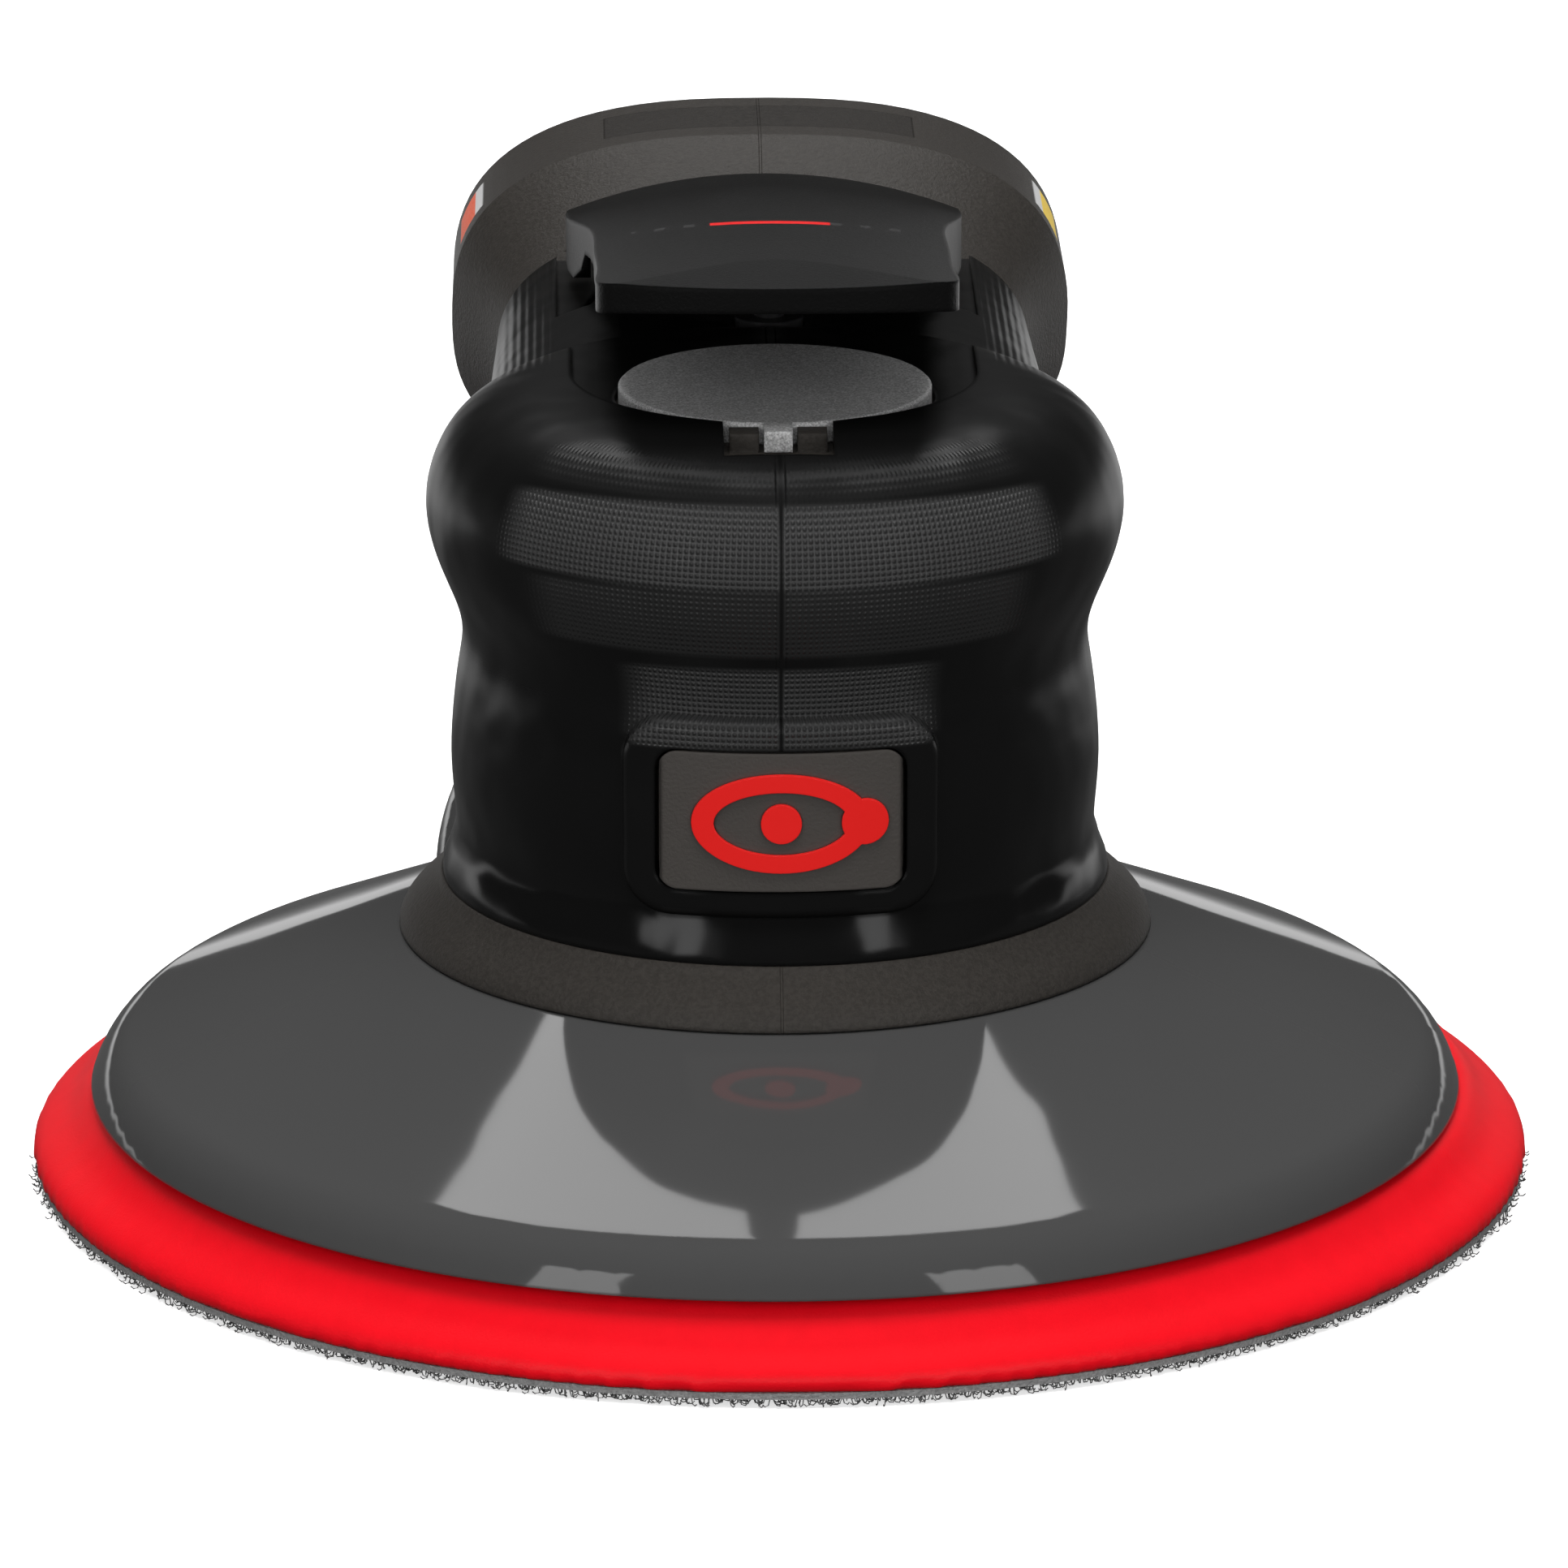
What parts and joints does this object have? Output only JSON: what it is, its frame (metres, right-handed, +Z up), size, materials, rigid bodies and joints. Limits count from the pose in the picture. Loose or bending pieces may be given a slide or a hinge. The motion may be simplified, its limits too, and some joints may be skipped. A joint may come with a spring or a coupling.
{
  "type": "random orbital sander polisher",
  "caption": "Air-driven dual action polisher: round hook pad on an offset free spindle, dust shroud, rubber palm grip, paddle lever and rear vacuum hose fitting.",
  "frame": {"origin": "on the motor axis, in the plane of the pad's hook face", "axes": "+Z up along the motor axis, +Y back along the handle, tool front faces -Y"},
  "size_m": [0.1516, 0.2095, 0.0967],
  "materials": {
    "housing_composite": "matte",
    "grip_rubber": "satin",
    "badge_composite": "matte",
    "emblem_red": "gloss",
    "cap_metal": "satin",
    "lever_black": "matte",
    "shroud_grey": "gloss",
    "steel": "brushed",
    "aluminium": "satin",
    "brass": "satin",
    "seal_rubber": "matte",
    "felt": "matte",
    "vane_phenolic": "matte",
    "pad_red_foam": "matte",
    "pad_plate": "matte",
    "hook_grey": "matte",
    "fitting_black": "satin"
  },
  "bodies": {
    "body": {"housing": "housing_composite", "rubber_grip": "grip_rubber", "front_badge": "badge_composite", "badge_emblem": "emblem_red", "top_cap": "cap_metal", "lever_pin": "steel", "valve_seat": "brass", "stem_bushing": "fitting_black", "valve_plug": "brass", "valve_spring": "steel", "inlet_bushing": "steel", "inlet_screen": "steel", "rear_cover": "housing_composite", "rear_cover_screws": "steel", "muffler_pads": "felt", "shroud": "shroud_grey", "duct_strap": "fitting_black", "strap_screw": "steel", "lock_ring": "aluminium", "lower_endplate": "steel", "upper_endplate": "steel", "motor_cylinder": "steel", "motor_dowel": "steel", "motor_o_ring": "seal_rubber", "shaft_bearing_outer_races": "steel"},
    "motor_shaft": {"shaft_balancer": "steel", "rotor": "steel", "rotor_key": "steel", "shaft_retaining_ring": "steel", "shaft_bearing_inner_races": "steel", "spindle_bearing_outer_races": "steel", "bearing_retaining_ring": "steel", "vane_1": "vane_phenolic", "vane_2": "vane_phenolic", "vane_3": "vane_phenolic", "vane_4": "vane_phenolic", "vane_5": "vane_phenolic"},
    "shaft_ball_set": {"shaft_bearing_balls": "steel"},
    "spindle_ball_set": {"spindle_bearing_balls": "steel"},
    "pad": {"spindle": "steel", "bearing_spacer": "steel", "spindle_washer": "steel", "spindle_screw": "steel", "spindle_bearing_inner_races": "steel", "pad_backing_plate": "pad_plate", "pad_stud": "steel", "pad_foam": "pad_red_foam", "hook_face": "hook_grey"},
    "lever": {"throttle_lever": "lever_black"},
    "valve": {"valve_stem": "fitting_black", "valve_face_seal": "seal_rubber"},
    "dial": {"speed_dial": "fitting_black", "dial_o_ring": "seal_rubber"},
    "vacuum_swivel": {"vacuum_fitting": "fitting_black", "fitting_o_ring": "seal_rubber"}
  },
  "joints": [
    {"name": "shaft_spin", "type": "hinge", "parent": "body", "child": "motor_shaft", "pos_m": [0, 0, 0.05], "axis": [0, 0, 1], "continuous": true},
    {"name": "pad_spin", "type": "hinge", "parent": "motor_shaft", "child": "pad", "pos_m": [0.0005, 0.00235, 0.02], "axis": [0, 0, 1], "continuous": true},
    {"name": "shaft_balls_roll", "type": "hinge", "parent": "body", "child": "shaft_ball_set", "pos_m": [0, 0, 0.05], "axis": [0, 0, 1], "continuous": true},
    {"name": "spindle_balls_roll", "type": "hinge", "parent": "motor_shaft", "child": "spindle_ball_set", "pos_m": [0.0005, 0.00235, 0.02], "axis": [0, 0, 1], "continuous": true},
    {"name": "lever_press", "type": "hinge", "parent": "body", "child": "lever", "pos_m": [0, 0.065, 0.0795], "axis": [1, 0, 0], "range_deg": [0, 7.5]},
    {"name": "valve_open", "type": "slide", "parent": "body", "child": "valve", "axis": [0, 0, -1], "range_m": [0, 0.0043], "deforming": ["valve_spring"]},
    {"name": "speed_dial_turn", "type": "hinge", "parent": "body", "child": "dial", "pos_m": [0, 0.11, 0.0526], "axis": [0, 1, 0], "range_deg": [-45, 90]},
    {"name": "vacuum_swivel_turn", "type": "hinge", "parent": "body", "child": "vacuum_swivel", "pos_m": [0, 0.1, 0.0276], "axis": [0, 1, 0], "continuous": true}
  ],
  "couplings": [
    {"joint": "shaft_balls_roll", "follows": "shaft_spin", "ratio": 0.39},
    {"joint": "spindle_balls_roll", "follows": "pad_spin", "ratio": 0.42},
    {"joint": "valve_open", "follows": "lever_press", "m_per_rad": 0.0325}
  ]
}
